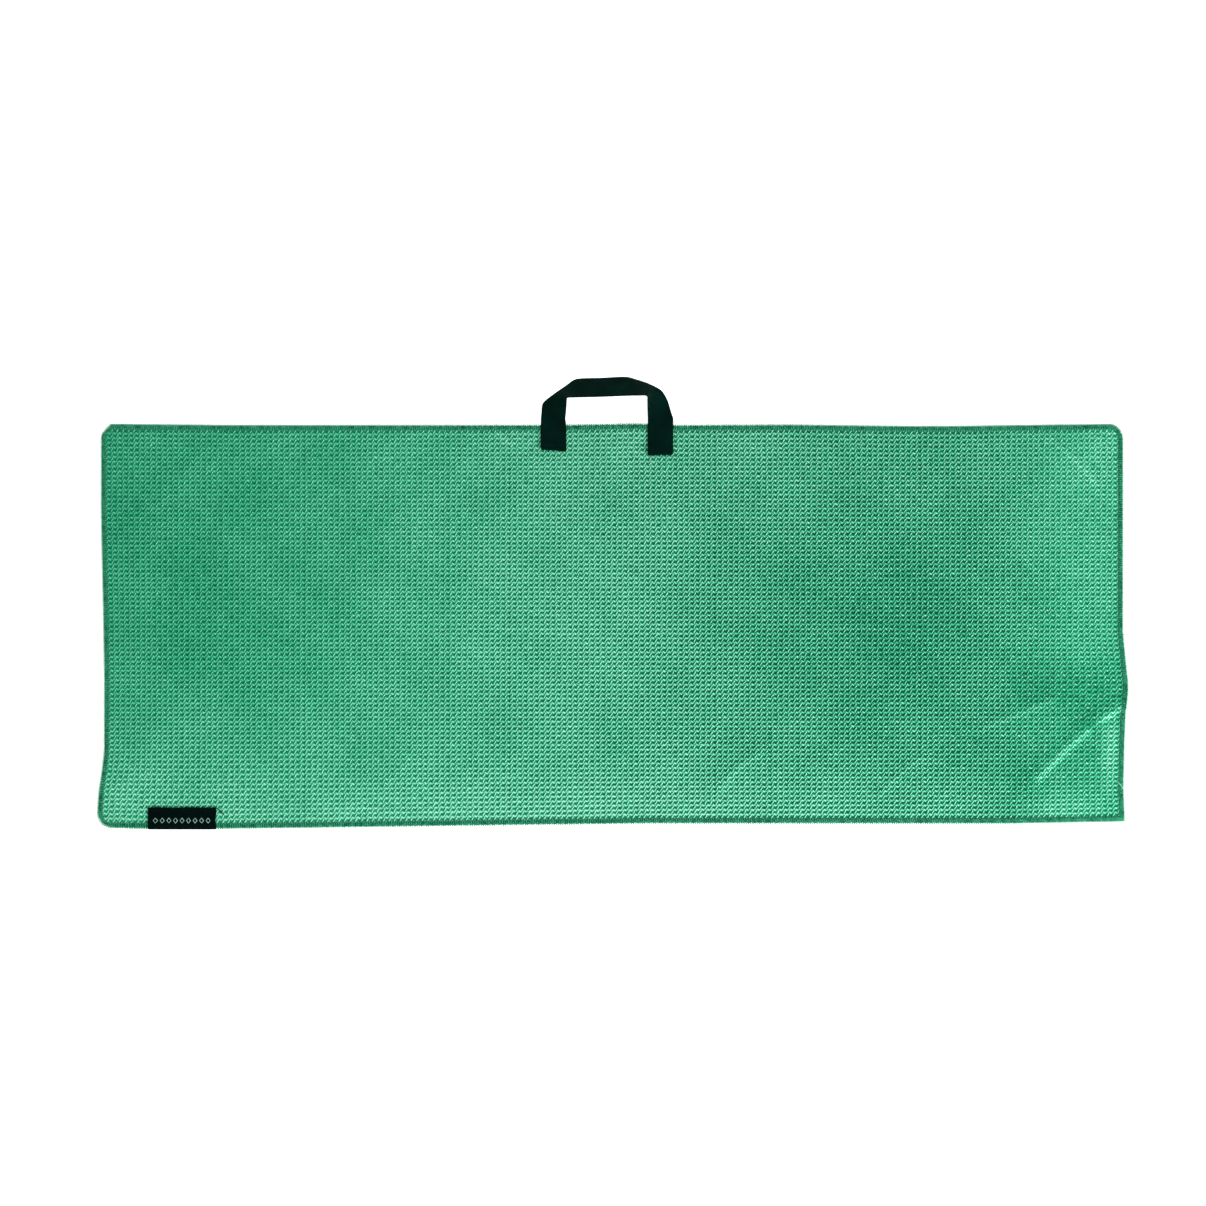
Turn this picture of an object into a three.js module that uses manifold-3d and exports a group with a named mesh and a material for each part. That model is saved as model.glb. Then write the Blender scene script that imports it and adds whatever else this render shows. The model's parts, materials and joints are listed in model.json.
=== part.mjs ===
// A waffle-weave microfibre golf towel, lying open and face up, with a webbing loop at the middle of
// its top edge and a woven label folded round its bottom edge. Millimetres, +Z up, +Y towards the loop.
// The towel folds in thirds, so its cloth and edge threads are split at two fold lines.
// The origin is under the middle of the whole outline, on the surface that the towel lies on.
import * as THREE from 'three';
import { mergeVertices } from 'three/addons/utils/BufferGeometryUtils.js';
import Module from 'manifold-3d';

const wasm = await Module();
wasm.setup();

// Driving dimensions
const TOWEL_WIDTH = 1016; // 40 inches
const TOWEL_DEPTH = 397;
const HALF_WIDTH = TOWEL_WIDTH / 2;
const HALF_DEPTH = TOWEL_DEPTH / 2;
const FOLD_X = 174; // fold lines at -FOLD_X and +FOLD_X
const FOLD_GAP = 0.5; // from a fold line to the cloth on each side of it
const CORNER = { topLeft: 12, bottomLeft: 18, topRight: 16, bottomRight: 2 };
const ARC_STEPS = 6;

// Heights of the layers, from the underside up
const CLEARANCE = 0.3; // between any two pieces that touch
const CLOTH_TOP = 2.6;
const RIM = { low: 1.35, high: 1.95, inset: 0.9 }; // cloth squeezed inside the overlock
const LOWER_LOOPER = { low: 0.65, high: 1.05, lip: 1.3 };
const UPPER_LOOPER = { low: 2.25, high: 2.65, lip: 1.6 };
const LOOPER_WIDTH = 4.9;
const LOWER_LOOPER_WIDTH = 5.8;
const LIP_WIDTH = 0.6; // the stretch of a looper thread that wraps the raw edge
const NEEDLE_THREAD = { from: 5.2, to: 5.8 };
const CLOTH_INSET = 6.1;

// Webbing loop: one-inch webbing
const WEBBING_WIDTH = 25.4;
const WEBBING_THICKNESS = 1.3;
const STRAP_BOTTOM = UPPER_LOOPER.high + CLEARANCE;
const STRAP_MIDDLE = STRAP_BOTTOM + WEBBING_THICKNESS / 2;
const LOOP_HINGE_REACH = 5; // from the towel's edge to the line where the loop flops
const LOOP_HINGE_GAP = 1;
const LOOP_REACH = 47.8; // how far the loop stands out past the edge
const STRAP_ENDS = {
  left: { x: -57.7, overlap: 25.4 },
  right: { x: 48.6, overlap: 29.9 },
};
const HEM_LENGTH = 7;
const HEM_RAMP = 2.5;
const HEM_TOP = STRAP_BOTTOM + 2.25;

// Woven label, folded in half round the bottom edge
const LABEL = { x: -426.9, width: 66.7, overlap: 20, thickness: 0.35, proud: 1.2 };
const LABEL_LEAF_BOTTOM = UPPER_LOOPER.high + CLEARANCE;

const THREAD = 0.3; // height of a sewn thread above what it holds

// The whole outline reaches from the label's fold to the top of the loop, so the towel sits below
// the origin by half the difference.
const TOWEL_Y = (LABEL.proud - LOOP_REACH) / 2;

const COLOURS = {
  cloth: { color: 0x4ba581, roughness: 0.95, metalness: 0 },
  thread: { color: 0x2c8361, roughness: 0.85, metalness: 0 },
  webbing: { color: 0x06211b, roughness: 0.8, metalness: 0 },
  label: { color: 0x051613, roughness: 0.75, metalness: 0 },
};

function plainGeometry(geometry) {
  const plain = geometry.clone();
  plain.deleteAttribute('normal');
  plain.deleteAttribute('uv');
  return mergeVertices(plain, 1e-4);
}

function toManifold(geometry) {
  const plain = plainGeometry(geometry);
  return new wasm.Manifold(new wasm.Mesh({
    numProp: 3,
    vertProperties: new Float32Array(plain.attributes.position.array),
    triVerts: new Uint32Array(plain.index.array),
  }));
}

function fromManifold(solid) {
  const mesh = solid.getMesh();
  const geometry = new THREE.BufferGeometry();
  geometry.setAttribute('position', new THREE.BufferAttribute(mesh.vertProperties, 3));
  geometry.setIndex(new THREE.BufferAttribute(mesh.triVerts, 1));
  geometry.computeVertexNormals();
  return geometry;
}

function joined(first, second) {
  return fromManifold(toManifold(first).add(toManifold(second)));
}

function cut(body, tool) {
  return fromManifold(toManifold(body).subtract(toManifold(tool)));
}

// A flat outline pulled up from one height to another.
function slab(points, low, high) {
  const geometry = new THREE.ExtrudeGeometry(new THREE.Shape(points), {
    depth: high - low,
    bevelEnabled: false,
  });
  return geometry.translate(0, 0, low);
}

function block(x0, x1, y0, y1, z0, z1) {
  const geometry = new THREE.BoxGeometry(x1 - x0, y1 - y0, z1 - z0);
  return geometry.translate((x0 + x1) / 2, (y0 + y1) / 2, (z0 + z1) / 2);
}

// A side profile in (y, z) pulled along X, centred on x.
function alongX(profile, x, width) {
  const geometry = new THREE.ExtrudeGeometry(
    new THREE.Shape(profile.map(([y, z]) => new THREE.Vector2(y, z))),
    { depth: width, bevelEnabled: false },
  );
  const turn = new THREE.Matrix4().makeBasis(
    new THREE.Vector3(0, 1, 0),
    new THREE.Vector3(0, 0, 1),
    new THREE.Vector3(1, 0, 0),
  );
  return geometry.applyMatrix4(turn).translate(x - width / 2, 0, 0);
}

// Outline points of a round corner, between two directions given in quarter turns.
function roundCorner(x, y, radius, fromQuarter) {
  const points = [];
  for (let i = 0; i <= ARC_STEPS; i += 1) {
    const angle = (fromQuarter + i / ARC_STEPS) * Math.PI / 2;
    points.push(new THREE.Vector2(x + radius * Math.cos(angle), y + radius * Math.sin(angle)));
  }
  return points;
}

function insetRadius(radius, inset) {
  return Math.max(radius - inset, 0.4);
}

// The left wing's edge from the top of the fold line, round the left end, to the bottom of the fold line.
function leftPath(inset) {
  const x = -HALF_WIDTH + inset;
  const y = HALF_DEPTH - inset;
  const cornerCut = CORNER.topLeft - inset * (2 - Math.SQRT2);
  const round = insetRadius(CORNER.bottomLeft, inset);
  return [
    new THREE.Vector2(-FOLD_X - FOLD_GAP, y),
    new THREE.Vector2(x + cornerCut, y),
    new THREE.Vector2(x, y - cornerCut),
    ...roundCorner(x + round, -y + round, round, 2),
    new THREE.Vector2(-FOLD_X - FOLD_GAP, -y),
  ];
}

// The right wing's edge from the bottom of the fold line, round the right end, to the top.
function rightPath(inset) {
  const x = HALF_WIDTH - inset;
  const y = HALF_DEPTH - inset;
  const low = insetRadius(CORNER.bottomRight, inset);
  const high = insetRadius(CORNER.topRight, inset);
  return [
    new THREE.Vector2(FOLD_X + FOLD_GAP, -y),
    ...roundCorner(x - low, -y + low, low, 3),
    ...roundCorner(x - high, y - high, high, 0),
    new THREE.Vector2(FOLD_X + FOLD_GAP, y),
  ];
}

// One long edge of the middle panel: side is 1 at the top and -1 at the bottom.
function middlePath(inset, side) {
  const y = side * (HALF_DEPTH - inset);
  const half = FOLD_X - FOLD_GAP;
  return [new THREE.Vector2(side * half, y), new THREE.Vector2(-side * half, y)];
}

// The strip of an edge between two insets.
function strip(path, from, to) {
  return [...path(from), ...path(to).reverse()];
}

function looper(path, width, { low, high, lip }) {
  const flat = slab(strip(path, 0, width), low, high);
  const wrap = slab(strip(path, 0, LIP_WIDTH), Math.min(low, lip), Math.max(high, lip));
  return joined(flat, wrap);
}

function upperLooper(path) {
  return looper(path, LOOPER_WIDTH, UPPER_LOOPER);
}

function lowerLooper(path) {
  return looper(path, LOWER_LOOPER_WIDTH, LOWER_LOOPER);
}

function needleThread(path) {
  return slab(strip(path, NEEDLE_THREAD.from, NEEDLE_THREAD.to), UPPER_LOOPER.low, UPPER_LOOPER.high);
}

// A wing of cloth: full thickness inside, and thin where the overlock squeezes its rim.
function wingPanel(path) {
  return joined(slab(path(CLOTH_INSET), 0, CLOTH_TOP), slab(path(RIM.inset), RIM.low, RIM.high));
}

function leftPanel() {
  const inner = -HALF_DEPTH + LABEL.overlap + CLEARANCE;
  const half = LABEL.width / 2 + CLEARANCE;
  const pocket = block(
    LABEL.x - half, LABEL.x + half, -HALF_DEPTH - 1, inner, -1, LABEL.thickness + CLEARANCE,
  );
  return cut(wingPanel(leftPath), pocket);
}

function middlePanel() {
  const half = FOLD_X - FOLD_GAP;
  const full = HALF_DEPTH - CLOTH_INSET;
  const rim = HALF_DEPTH - RIM.inset;
  return joined(
    block(-half, half, -full, full, 0, CLOTH_TOP),
    block(-half, half, -rim, rim, RIM.low, RIM.high),
  );
}

// A sewn-down strap end: single webbing, doubled at its tip by a hem folded under.
function strapEnd({ x, overlap }) {
  const tip = HALF_DEPTH - overlap;
  const end = HALF_DEPTH + LOOP_HINGE_REACH - LOOP_HINGE_GAP;
  const top = STRAP_BOTTOM + WEBBING_THICKNESS;
  return alongX([
    [tip, STRAP_BOTTOM],
    [end, STRAP_BOTTOM],
    [end, top],
    [tip + HEM_LENGTH + HEM_RAMP, top],
    [tip + HEM_LENGTH, HEM_TOP],
    [tip, HEM_TOP],
  ], x, WEBBING_WIDTH);
}

// A row of stitches across a strap end, at a height and a distance inside the towel's edge.
function crossStitch({ x }, inside, on) {
  const y = HALF_DEPTH - inside;
  const half = WEBBING_WIDTH / 2 - 1.7;
  const low = on + CLEARANCE;
  return block(x - half, x + half, y - 0.3, y + 0.3, low, low + THREAD);
}

// The free loop as a twisted ribbon. Each station pairs a point on the outer edge, which lies on the
// table past the feet, with one on the inner edge, which stands up round the corners. Each point is
// x, distance past the towel's edge, height.
function loopStations() {
  const foot = LOOP_HINGE_REACH + LOOP_HINGE_GAP;
  const flat = STRAP_MIDDLE;
  const table = 0.95;
  const leftOuter = STRAP_ENDS.left.x - WEBBING_WIDTH / 2;
  const leftInner = STRAP_ENDS.left.x + WEBBING_WIDTH / 2;
  const rightOuter = STRAP_ENDS.right.x + WEBBING_WIDTH / 2;
  const rightInner = STRAP_ENDS.right.x - WEBBING_WIDTH / 2;
  return [
    [[leftOuter, foot, flat], [leftInner, foot, flat]],
    [[leftOuter + 0.9, 12, 2.6], [leftInner + 0.1, 12, 4.8]],
    [[leftOuter + 2.7, 21.4, table], [leftInner + 0.2, 20, 9.5]],
    [[-56, 30, table], [leftInner + 0.3, 26, 18]],
    [[-46, 37.2, table], [-43, 27.2, 20]],
    [[-34.8, 45, table], [-34, 27.5, 18.8]],
    [[-12, 46.4, table], [-12, 28, 18]],
    [[12.4, LOOP_REACH - 0.5, table], [12, 28.9, 18.2]],
    [[24, 45.5, table], [24, 29.3, 19]],
    [[34.2, 41.2, table], [33, 29.5, 20]],
    [[42.5, 36.8, table], [rightInner - 0.5, 28, 19.6]],
    [[48.9, 32.3, table], [rightInner - 0.4, 25, 16.5]],
    [[54.4, 23.8, 1.1], [rightInner - 0.3, 20.5, 10]],
    [[59, 12.4, 2.5], [rightInner - 0.1, 12, 4.9]],
    [[rightOuter, foot, flat], [rightInner, foot, flat]],
  ];
}

function handleLoop() {
  const stepsPerStation = 3;
  const stations = loopStations();
  const curve = (edge) => new THREE.CatmullRomCurve3(
    stations.map((pair) => {
      const [x, past, z] = pair[edge];
      return new THREE.Vector3(x, HALF_DEPTH + past, z);
    }),
    false, 'catmullrom', 0.4,
  );
  const [outer, inner] = [curve(0), curve(1)];
  const rings = (stations.length - 1) * stepsPerStation;
  const positions = [];
  for (let i = 0; i <= rings; i += 1) {
    const t = i / rings;
    const from = outer.getPoint(t);
    const to = inner.getPoint(t);
    const across = to.clone().sub(from);
    const along = outer.getTangent(t).add(inner.getTangent(t));
    const lift = across.clone().cross(along).normalize().multiplyScalar(WEBBING_THICKNESS / 2);
    for (const corner of [
      from.clone().add(lift), to.clone().add(lift), to.clone().sub(lift), from.clone().sub(lift),
    ]) {
      positions.push(corner.x, corner.y, corner.z);
    }
  }
  const index = [0, 2, 1, 0, 3, 2];
  for (let i = 0; i < rings; i += 1) {
    for (let side = 0; side < 4; side += 1) {
      const a = i * 4 + side;
      const b = i * 4 + (side + 1) % 4;
      index.push(a, b, b + 4, a, b + 4, a + 4);
    }
  }
  const last = rings * 4;
  index.push(last, last + 1, last + 2, last, last + 2, last + 3);
  const geometry = new THREE.BufferGeometry();
  geometry.setAttribute('position', new THREE.Float32BufferAttribute(positions, 3));
  geometry.setIndex(index);
  geometry.computeVertexNormals();
  return geometry;
}

// Two leaves and the fold between them, as one bent strip round the towel's edge.
function wovenLabel() {
  const { thickness } = LABEL;
  const inner = -HALF_DEPTH + LABEL.overlap;
  const fold = -HALF_DEPTH - LABEL.proud;
  const top = LABEL_LEAF_BOTTOM + thickness;
  return alongX([
    [inner, 0],
    [inner, thickness],
    [fold + thickness, thickness],
    [fold + thickness, LABEL_LEAF_BOTTOM],
    [inner, LABEL_LEAF_BOTTOM],
    [inner, top],
    [fold, top],
    [fold, 0],
  ], LABEL.x, LABEL.width);
}

function labelStitch() {
  const y = -HALF_DEPTH + LABEL.overlap - 1.6;
  const half = LABEL.width / 2 - 1.5;
  const low = LABEL_LEAF_BOTTOM + LABEL.thickness + CLEARANCE;
  return block(LABEL.x - half, LABEL.x + half, y - 0.25, y + 0.25, low, low + THREAD);
}

function part(name, geometry, finish) {
  const mesh = new THREE.Mesh(geometry, new THREE.MeshStandardMaterial(finish));
  mesh.name = name;
  return mesh;
}

function edgeThreads(place, path) {
  return [
    part(`overlock_face_thread_${place}`, upperLooper(path), COLOURS.thread),
    part(`overlock_back_thread_${place}`, lowerLooper(path), COLOURS.thread),
    part(`overlock_needle_thread_${place}`, needleThread(path), COLOURS.thread),
  ];
}

function strap(side) {
  const end = STRAP_ENDS[side];
  const hemStitch = crossStitch(end, end.overlap - 5, HEM_TOP);
  const edgeStitch = crossStitch(end, CLOTH_INSET + 1.5, STRAP_BOTTOM + WEBBING_THICKNESS);
  return [
    part(`handle_end_${side}`, strapEnd(end), COLOURS.webbing),
    part(`handle_hem_stitch_${side}`, hemStitch, COLOURS.webbing),
    part(`handle_edge_stitch_${side}`, edgeStitch, COLOURS.webbing),
  ];
}

const towel = new THREE.Group();
towel.position.y = TOWEL_Y;
towel.add(
  part('towel_panel_left', leftPanel(), COLOURS.cloth),
  part('towel_panel_centre', middlePanel(), COLOURS.cloth),
  part('towel_panel_right', wingPanel(rightPath), COLOURS.cloth),
  ...edgeThreads('left', leftPath),
  ...edgeThreads('top', (inset) => middlePath(inset, 1)),
  ...edgeThreads('bottom', (inset) => middlePath(inset, -1)),
  ...edgeThreads('right', rightPath),
  ...strap('left'),
  ...strap('right'),
  part('handle_loop', handleLoop(), COLOURS.webbing),
  part('woven_label', wovenLabel(), COLOURS.label),
  part('label_stitch', labelStitch(), COLOURS.label),
);

const model = new THREE.Group();
model.add(towel);

export default model;
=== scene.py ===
import json
import math

import bpy
import numpy as np
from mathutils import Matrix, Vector


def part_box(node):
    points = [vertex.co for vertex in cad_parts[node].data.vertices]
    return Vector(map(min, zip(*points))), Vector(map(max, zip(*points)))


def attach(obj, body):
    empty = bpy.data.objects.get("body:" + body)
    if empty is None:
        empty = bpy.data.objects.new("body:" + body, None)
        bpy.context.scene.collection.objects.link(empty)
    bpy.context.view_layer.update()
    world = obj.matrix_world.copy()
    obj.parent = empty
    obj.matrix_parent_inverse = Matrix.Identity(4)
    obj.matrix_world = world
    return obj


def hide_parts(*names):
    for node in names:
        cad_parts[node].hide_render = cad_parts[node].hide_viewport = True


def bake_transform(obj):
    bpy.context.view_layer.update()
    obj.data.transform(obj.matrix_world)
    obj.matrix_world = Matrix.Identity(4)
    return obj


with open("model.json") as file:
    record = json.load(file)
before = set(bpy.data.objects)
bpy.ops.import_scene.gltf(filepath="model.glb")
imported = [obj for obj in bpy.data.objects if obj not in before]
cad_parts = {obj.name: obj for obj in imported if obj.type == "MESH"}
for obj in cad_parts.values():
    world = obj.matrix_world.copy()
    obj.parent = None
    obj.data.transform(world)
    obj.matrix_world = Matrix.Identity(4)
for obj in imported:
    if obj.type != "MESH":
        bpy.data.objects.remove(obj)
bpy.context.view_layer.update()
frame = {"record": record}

MM = 0.001

# ------------ sizes, from the frame
joint = {j["name"]: j for j in frame["record"]["behaviour"]["joints"]}
left_low, left_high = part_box("overlock_face_thread_left")
right_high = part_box("overlock_face_thread_right")[1]
cloth_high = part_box("towel_panel_centre")[1]
label_low, label_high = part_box("woven_label")
HALF_X = (right_high.x - left_low.x) / 2
HALF_Y = (left_high.y - left_low.y) / 2
MIDDLE_Y = (left_high.y + left_low.y) / 2
CLOTH_TOP = cloth_high.z
FOLD_X = joint["right_fold"]["pos_m"][0]
FACE_THREAD_Z = (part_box("overlock_needle_thread_top")[0].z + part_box("overlock_needle_thread_top")[1].z) / 2
BACK_THREAD_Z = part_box("overlock_back_thread_top")[0].z + 0.2 * MM

WEBBING_WIDTH = 25.4 * MM
WEBBING_THICK = 1.1 * MM
LABEL_X = (label_low.x + label_high.x) / 2
LABEL_WIDTH = label_high.x - label_low.x
LABEL_REACH = 20.5 * MM  # how far the label's front reaches from the towel's edge
LABEL_THICK = 0.34 * MM
LABEL_LIFT = 0.45  # millimetres that the cloth is lifted off the table by the label's back

# ------------ the weave
CELL_COLUMNS = 184
CELL_ROWS = 86
CELL_X = 2 * HALF_X / CELL_COLUMNS
CELL_Y = 2 * HALF_Y / CELL_ROWS
ACROSS_CELL = 4  # mesh columns in a waffle cell
UP_CELL = 3  # mesh rows in a waffle cell
LEAN = 0.52  # how far a steep rib leans over one row, in cells
SLOPE = 0.61  # how far a shallow rib drops over one cell's width, in rows
WAVER = 0.30  # how far the ribs stray from their even grid, in cells
FACE_DEPTH = 1.15 * MM
BACK_DEPTH = 0.8 * MM

# ------------ the edge
CORNERS = {"top_left": 9.5 * MM, "bottom_left": 15 * MM, "top_right": 14 * MM, "bottom_right": 2 * MM}
CORNER_STEPS = 10
STITCH = 2.2 * MM
THREAD = 0.42 * MM  # radius of a bulked overlock thread
NEEDLE_INSET = 4.7 * MM
NEEDLE_RADIUS = 0.26 * MM
CLOTH_INSET = 0.6 * MM
SEAM_COLUMNS = 18  # the cloth's middle piece reaches this many cells each way from the middle
OUTER_COLUMNS = 55  # and the wings' outer pieces start this far out

rng = np.random.default_rng(7)


def smoothstep(low, high, value):
    t = np.clip((value - low) / (high - low), 0, 1)
    return t * t * (3 - 2 * t)


def bump(value, centre, width):
    return np.exp(-(((value - centre) / width) ** 2))


# ------------ how the cloth lies
def distance_to_line(x, y, points):
    """Distance from each point to a line of points, and which side of it the point is on."""
    best = np.full(np.shape(x), 1e9)
    side = np.zeros(np.shape(x))
    for (x0, y0), (x1, y1) in zip(points, points[1:]):
        dx, dy = x1 - x0, y1 - y0
        length = math.hypot(dx, dy)
        along = np.clip(((x - x0) * dx + (y - y0) * dy) / length**2, 0, 1)
        away = np.hypot(x - x0 - along * dx, y - y0 - along * dy)
        nearer = away < best
        best = np.where(nearer, away, best)
        side = np.where(nearer, np.sign((x - x0) * dy - (y - y0) * dx), side)
    return best, side


# Each wrinkle: its line in millimetres from the towel's middle, its height, the width of its steep
# side and of its gentle side, and the strength of the painted highlight along its crest (a painted
# shade line where negative), a quarter of which is painted as shade on its gentle side.
WRINKLES = [
    ([(511, -79), (497, -88), (484, -96)], 1.6, 2.0, 15, 0.34),
    ([(473, -107), (456, -122), (440, -138), (424, -155)], 2.0, 2.8, 18, 0.34),
    ([(440, -76), (408, -90), (372, -104)], 0.6, 5, 14, 0.16),
    ([(482, 138), (462, 160), (436, 184)], 0.9, 8, 18, 0.13),
    ([(146, -131), (134, -138), (122, -149), (109, -164)], 0.8, 4, 12, 0.15),
    ([(158, -108), (160, -186)], 0.3, 5, 7, -0.06),
    ([(311, -134), (291, -148), (272, -166)], 0.6, 4, 10, 0.14),
    ([(224, -4), (252, -2), (282, -5)], 0.3, 3, 7, 0.08),
    ([(-124, -4), (-82, -2), (-44, -5)], 0.3, 3, 7, 0.10),
    ([(-98, 176), (-114, 188)], 0.4, 3, 8, 0.10),
    ([(-162, -190), (-163, 190)], 0.15, 4, 5, -0.05),
    ([(-6, -190), (-6, 180)], 0.15, 4, 5, -0.05),
]
# Patches of painted light and shade: centre, reach in x and y, in millimetres, and how much
# lighter (darker where negative).
PAINTED_LIGHT_PATCHES = [
    ((-40, 20), (180, 210), 0.13),
    ((-490, -150), (90, 60), 0.08),
    ((-330, -110), (150, 70), 0.05),
    ((340, -110), (190, 80), -0.03),
    ((275, 5), (120, 90), -0.12),
    ((470, 60), (60, 170), 0.07),
    ((-250, -215), (420, 60), 0.24),
    ((150, -205), (300, 50), 0.12),
    ((470, -60), (60, 26), -0.14),
    ((404, -160), (26, 40), -0.12),
    ((484, 160), (50, 50), 0.09),
    ((494, -125), (8, 36), 0.30),
    ((452, -185), (40, 16), 0.12),
    ((-450, 60), (150, 170), -0.05),
    ((330, -30), (190, 150), -0.03),
    ((20, 185), (170, 40), 0.10),
    ((-385, -15), (50, 70), -0.05),
    ((125, 20), (50, 60), -0.06),
    ((-466, -165), (40, 40), 0.05),
    ((475, -150), (40, 60), -0.05),
]


def waves(x, y):
    """The cloth's low waves, in millimetres."""
    edge = np.minimum(HALF_X - np.abs(x), HALF_Y - np.abs(y))
    around = np.arctan2(y / HALF_Y, x / HALF_X)
    broad = 0.26 * (1 + np.sin(x / 0.071 + 1.3 * np.sin(y / 0.11)) * np.cos(y / 0.083 + 0.6))
    right_end = 0.20 * (1 + np.sin(x / 0.033 - y / 0.052 + 2.1)) * bump(x, 0.44, 0.1)
    puckers = 0.15 * (1 + np.sin(x / 0.0052 + y / 0.0095)) * bump(x, 0.46, 0.05) * bump(y, 0.15, 0.06)
    ripples = 0.12 * (1 + np.sin(around * 61 + 2 * np.sin(around * 7))) * np.exp(-edge / 0.012)
    at_fold = np.maximum(bump(x, -FOLD_X, 0.03), bump(x, FOLD_X, 0.03))
    return (broad + right_end + puckers + ripples) * (1 - 0.6 * at_fold)


def creases(x, y):
    """How high the wrinkles stand, in millimetres, and the painted light and shade they put on the
    cloth: a painted highlight along each crest and painted shade on its gentle side.
    """
    height, light = 0, 0
    for line, tall, steep, gentle, painted_lightness in WRINKLES:
        away, side = distance_to_line(x, y, [(px * MM, py * MM) for px, py in line])
        on_gentle = side > 0
        profile = np.exp(-((away / (np.where(on_gentle, gentle, steep) * MM)) ** 2))
        height = height + tall * profile
        # painted highlight along the wrinkle's crest, and painted shade on its gentle side
        light = light + painted_lightness * np.exp(-((away / (np.where(on_gentle, 2.4, 1.6) * MM)) ** 2))
        shade = 0.25 * painted_lightness * (1 - np.exp(-((away / (6 * MM)) ** 2)))
        light = light - np.where(on_gentle, shade, 0) * profile
    return height, light


def painted_light_and_shade(x, y):
    """Painted light and shade on the cloth away from the wrinkles: faint ripples and broad patches."""
    light = 0.035 * np.sin(x / 0.019 + 2 * np.sin(y / 0.06)) * np.sin(y / 0.024 + np.sin(x / 0.05))
    for (px, py), (reach_x, reach_y), painted_lightness in PAINTED_LIGHT_PATCHES:
        light = light + painted_lightness * bump(x, px * MM, reach_x * MM) * bump(y, py * MM, reach_y * MM)
    return light


def lie(x, y):
    """How far the cloth stands off the table, in metres, and the painted light and shade on it there."""
    beside_label = smoothstep(36 * MM, 46 * MM, np.abs(x - LABEL_X))
    past_label = smoothstep(24 * MM, 36 * MM, y + HALF_Y)
    lift = LABEL_LIFT * (1 - beside_label) * (1 - past_label)
    crease_height, crease_light = creases(x, y)
    return (waves(x, y) + lift + crease_height) * MM, painted_light_and_shade(x, y) + crease_light


# How far each edge strays outwards from a straight line: place along it and amount, in millimetres.
STRAY = {
    "left": [(-186, 4.1), (-165, 2.8), (-148, 0), (-127, -2.7),
             (-50, -2.8), (10, -1.8), (60, -0.7), (110, 0.3)],
    "right": [(-192, 3.0), (-165, 1.8), (-115, 3.0), (-90, 4.1),
              (-66, 6.5), (-58, 6.5), (-8, 1.4), (190, 1.4)],
    "bottom": [(-490, 4.3), (-460, 5.1), (-400, 5.1), (-300, 4.1),
               (-120, 1.8), (40, -0.1), (400, -0.1), (500, -2.1)],
    "top": [(-500, 1.0), (-380, -0.1), (-50, 0), (24, 1.4), (64, -0.1),
            (178, 0.4), (297, -1.2), (350, -1.1), (400, -0.3), (500, 0.8)],
}
STRAY_REACH = {"left": 70 * MM, "right": 70 * MM, "bottom": 80 * MM, "top": 60 * MM}  # it fades inwards


def stray(edge, along):
    places, amounts = zip(*STRAY[edge])
    return np.interp(along, np.array(places) * MM, np.array(amounts) * MM)


def wobble(x, y):
    """The cut edge isn't straight: how far a flat point is shifted in x and y."""
    inset = {"left": x + HALF_X, "right": HALF_X - x, "bottom": y + HALF_Y, "top": HALF_Y - y}
    share = {edge: 1 - smoothstep(0, STRAY_REACH[edge], inset[edge]) for edge in inset}
    shift_x = share["right"] * stray("right", y) - share["left"] * stray("left", y)
    shift_y = share["top"] * stray("top", x) - share["bottom"] * stray("bottom", x)
    return shift_x, shift_y


def lay(x, y, z):
    """Row-frame points of flat points at height z above the cloth's underside."""
    shift_x, shift_y = wobble(x, y)
    return np.stack([x + shift_x, y + shift_y + MIDDLE_Y, z + lie(x, y)[0]], axis=-1)


# ------------ meshes from arrays
def make_mesh(name, points, triangles, material, facets=0, **attributes):
    """A mesh of triangles, smooth but for its last few, with point attributes: numbers or vectors."""
    mesh = bpy.data.meshes.new(name)
    points = np.asarray(points, np.float32).reshape(-1, 3)
    triangles = np.asarray(triangles, np.int32).reshape(-1, 3)
    mesh.vertices.add(len(points))
    mesh.vertices.foreach_set("co", points.ravel())
    mesh.loops.add(triangles.size)
    mesh.loops.foreach_set("vertex_index", triangles.ravel())
    mesh.polygons.add(len(triangles))
    mesh.polygons.foreach_set("loop_start", np.arange(0, triangles.size, 3, dtype=np.int32))
    mesh.polygons.foreach_set("use_smooth", np.arange(len(triangles)) < len(triangles) - facets)
    for key, values in attributes.items():
        values = np.asarray(values, np.float32)
        if values.ndim == 1:
            mesh.attributes.new(key, "FLOAT", "POINT").data.foreach_set("value", values)
        else:
            mesh.attributes.new(key, "FLOAT_VECTOR", "POINT").data.foreach_set("vector", values.ravel())
    mesh.update(calc_edges=True)
    mesh.validate()
    mesh.materials.append(material)
    obj = bpy.data.objects.new(name, mesh)
    bpy.context.scene.collection.objects.link(obj)
    return obj


def grid_triangles(rows, columns, first=0, wrap=False):
    """Triangles of a grid of points counted row by row, each square cut along its rising diagonal."""
    squares = columns if wrap else columns - 1
    row, column = np.meshgrid(np.arange(rows - 1), np.arange(squares), indexing="ij")
    across = (column + 1) % columns
    a = first + row * columns + column
    b = first + row * columns + across
    c = first + (row + 1) * columns + across
    d = first + (row + 1) * columns + column
    halves = [np.stack([a, b, c], -1), np.stack([a, c, d], -1)]
    return np.concatenate([half.reshape(-1, 3) for half in halves])


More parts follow.
